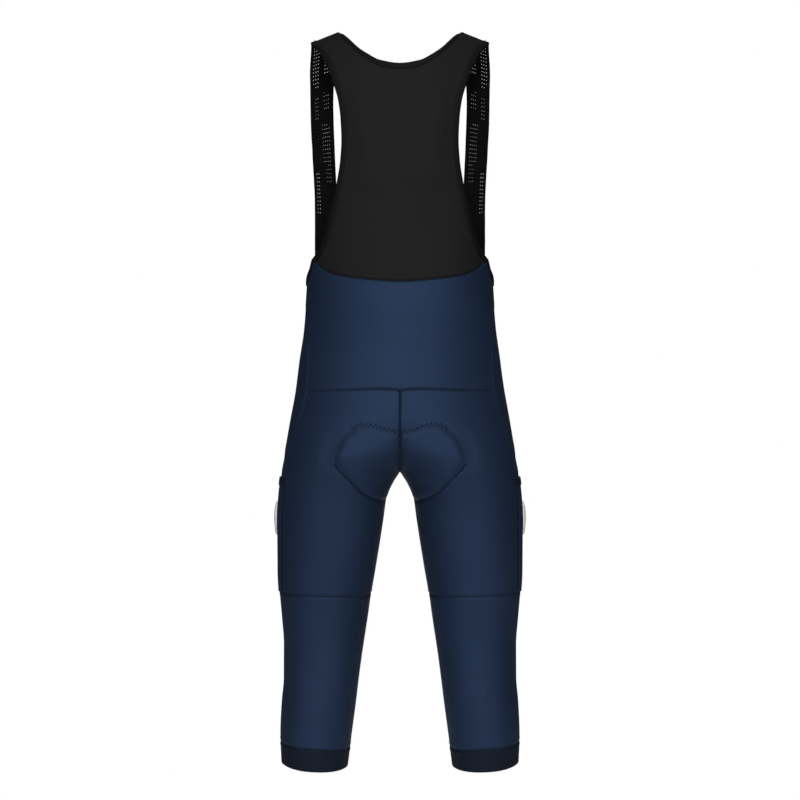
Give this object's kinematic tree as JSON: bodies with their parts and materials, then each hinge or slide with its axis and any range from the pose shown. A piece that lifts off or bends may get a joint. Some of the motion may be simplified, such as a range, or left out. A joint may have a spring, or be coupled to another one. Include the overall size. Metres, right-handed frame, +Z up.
{
  "type": "bib knickers",
  "caption": "Three-quarter cycling bib tights with a solid back bib, two mesh shoulder straps, thigh pockets and elastic cuffs, filled out as worn.",
  "frame": {"origin": "midway between the places where the wearer's shoulders hold the two strap tops", "axes": "+Z up, +Y towards the wearer's front, +X towards the wearer's right"},
  "size_m": [0.3484, 0.2218, 1.0302],
  "materials": {
    "navy_knit": "smooth stretch knit with a soft sheen",
    "bib_knit": "matt black stretch knit",
    "strap_mesh": "black perforated elastic mesh",
    "binding": "folded elastic binding with stitching",
    "cuff_elastic": "ribbed elastic band",
    "reflective_tab": "pale grey reflective tape",
    "pad_foam": "brushed knit over foam"
  },
  "bodies": {
    "root": {"bib_back": "bib_knit", "back_yoke": "navy_knit", "seat_right": "navy_knit", "seat_left": "navy_knit", "front_right": "navy_knit", "front_left": "navy_knit", "lower_leg_right": "navy_knit", "lower_leg_left": "navy_knit", "cuff_right": "cuff_elastic", "cuff_left": "cuff_elastic", "strap_right": "strap_mesh", "strap_left": "strap_mesh", "neck_binding": "binding", "armhole_binding_right": "binding", "armhole_binding_left": "binding", "front_binding": "binding", "pocket_right": "navy_knit", "pocket_left": "navy_knit", "pocket_hem_right": "cuff_elastic", "pocket_hem_left": "cuff_elastic", "reflective_tab_right": "reflective_tab", "reflective_tab_left": "reflective_tab", "seat_pad_right": "pad_foam", "seat_pad_left": "pad_foam"}
  },
  "joints": []
}
